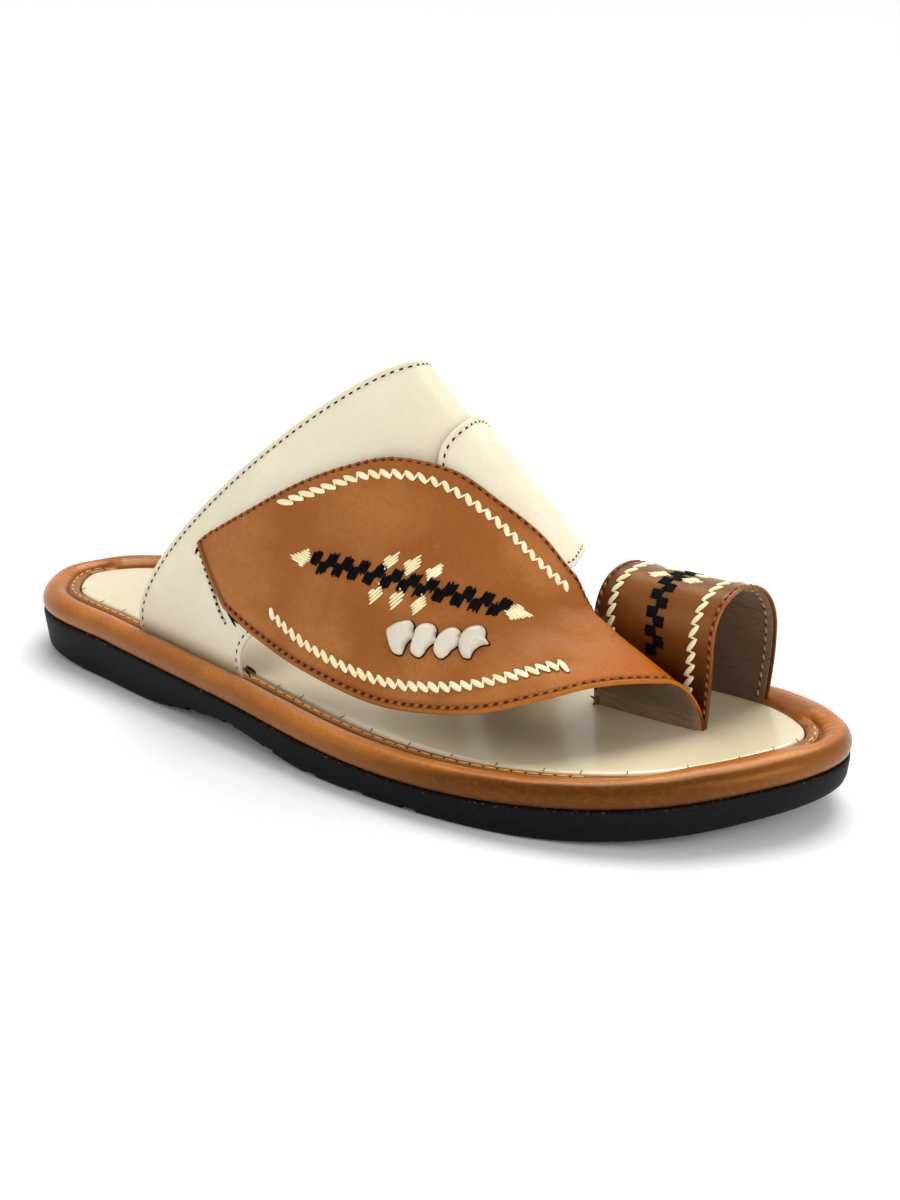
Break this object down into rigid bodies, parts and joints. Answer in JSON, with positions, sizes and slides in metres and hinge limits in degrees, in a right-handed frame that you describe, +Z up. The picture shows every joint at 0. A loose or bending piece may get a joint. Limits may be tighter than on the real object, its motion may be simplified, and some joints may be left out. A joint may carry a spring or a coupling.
{
  "type": "toe ring sandal",
  "caption": "Right-foot leather toe ring sandal with an instep band, overlapping vamp and medial strap, padded rim and rubber outsole.",
  "frame": {"origin": "centre of the bounding box's bottom, on the floor under the sole", "axes": "+X from heel to toe, +Y to the big toe's side of the right foot, +Z up"},
  "size_m": [0.2892, 0.1123, 0.1126],
  "materials": {
    "cream_upper_leather": "smooth, semi-gloss",
    "brown_vamp_leather": "smooth, waxed, semi-gloss",
    "brown_ring_leather": "smooth, waxed, semi-gloss",
    "brown_rim_leather": "smooth, wrapped, satin",
    "cream_insole_leather": "glazed, glossy",
    "black_rubber": "matte"
  },
  "bodies": {
    "root": {"outsole": "black_rubber", "rim": "brown_rim_leather", "insole": "cream_insole_leather", "instep_band": "cream_upper_leather", "medial_strap": "cream_upper_leather", "vamp_panel": "brown_vamp_leather", "toe_ring": "brown_ring_leather", "lace_puff_1": "cream_upper_leather", "lace_puff_2": "cream_upper_leather", "lace_puff_3": "cream_upper_leather", "lace_puff_4": "cream_upper_leather"}
  },
  "joints": []
}
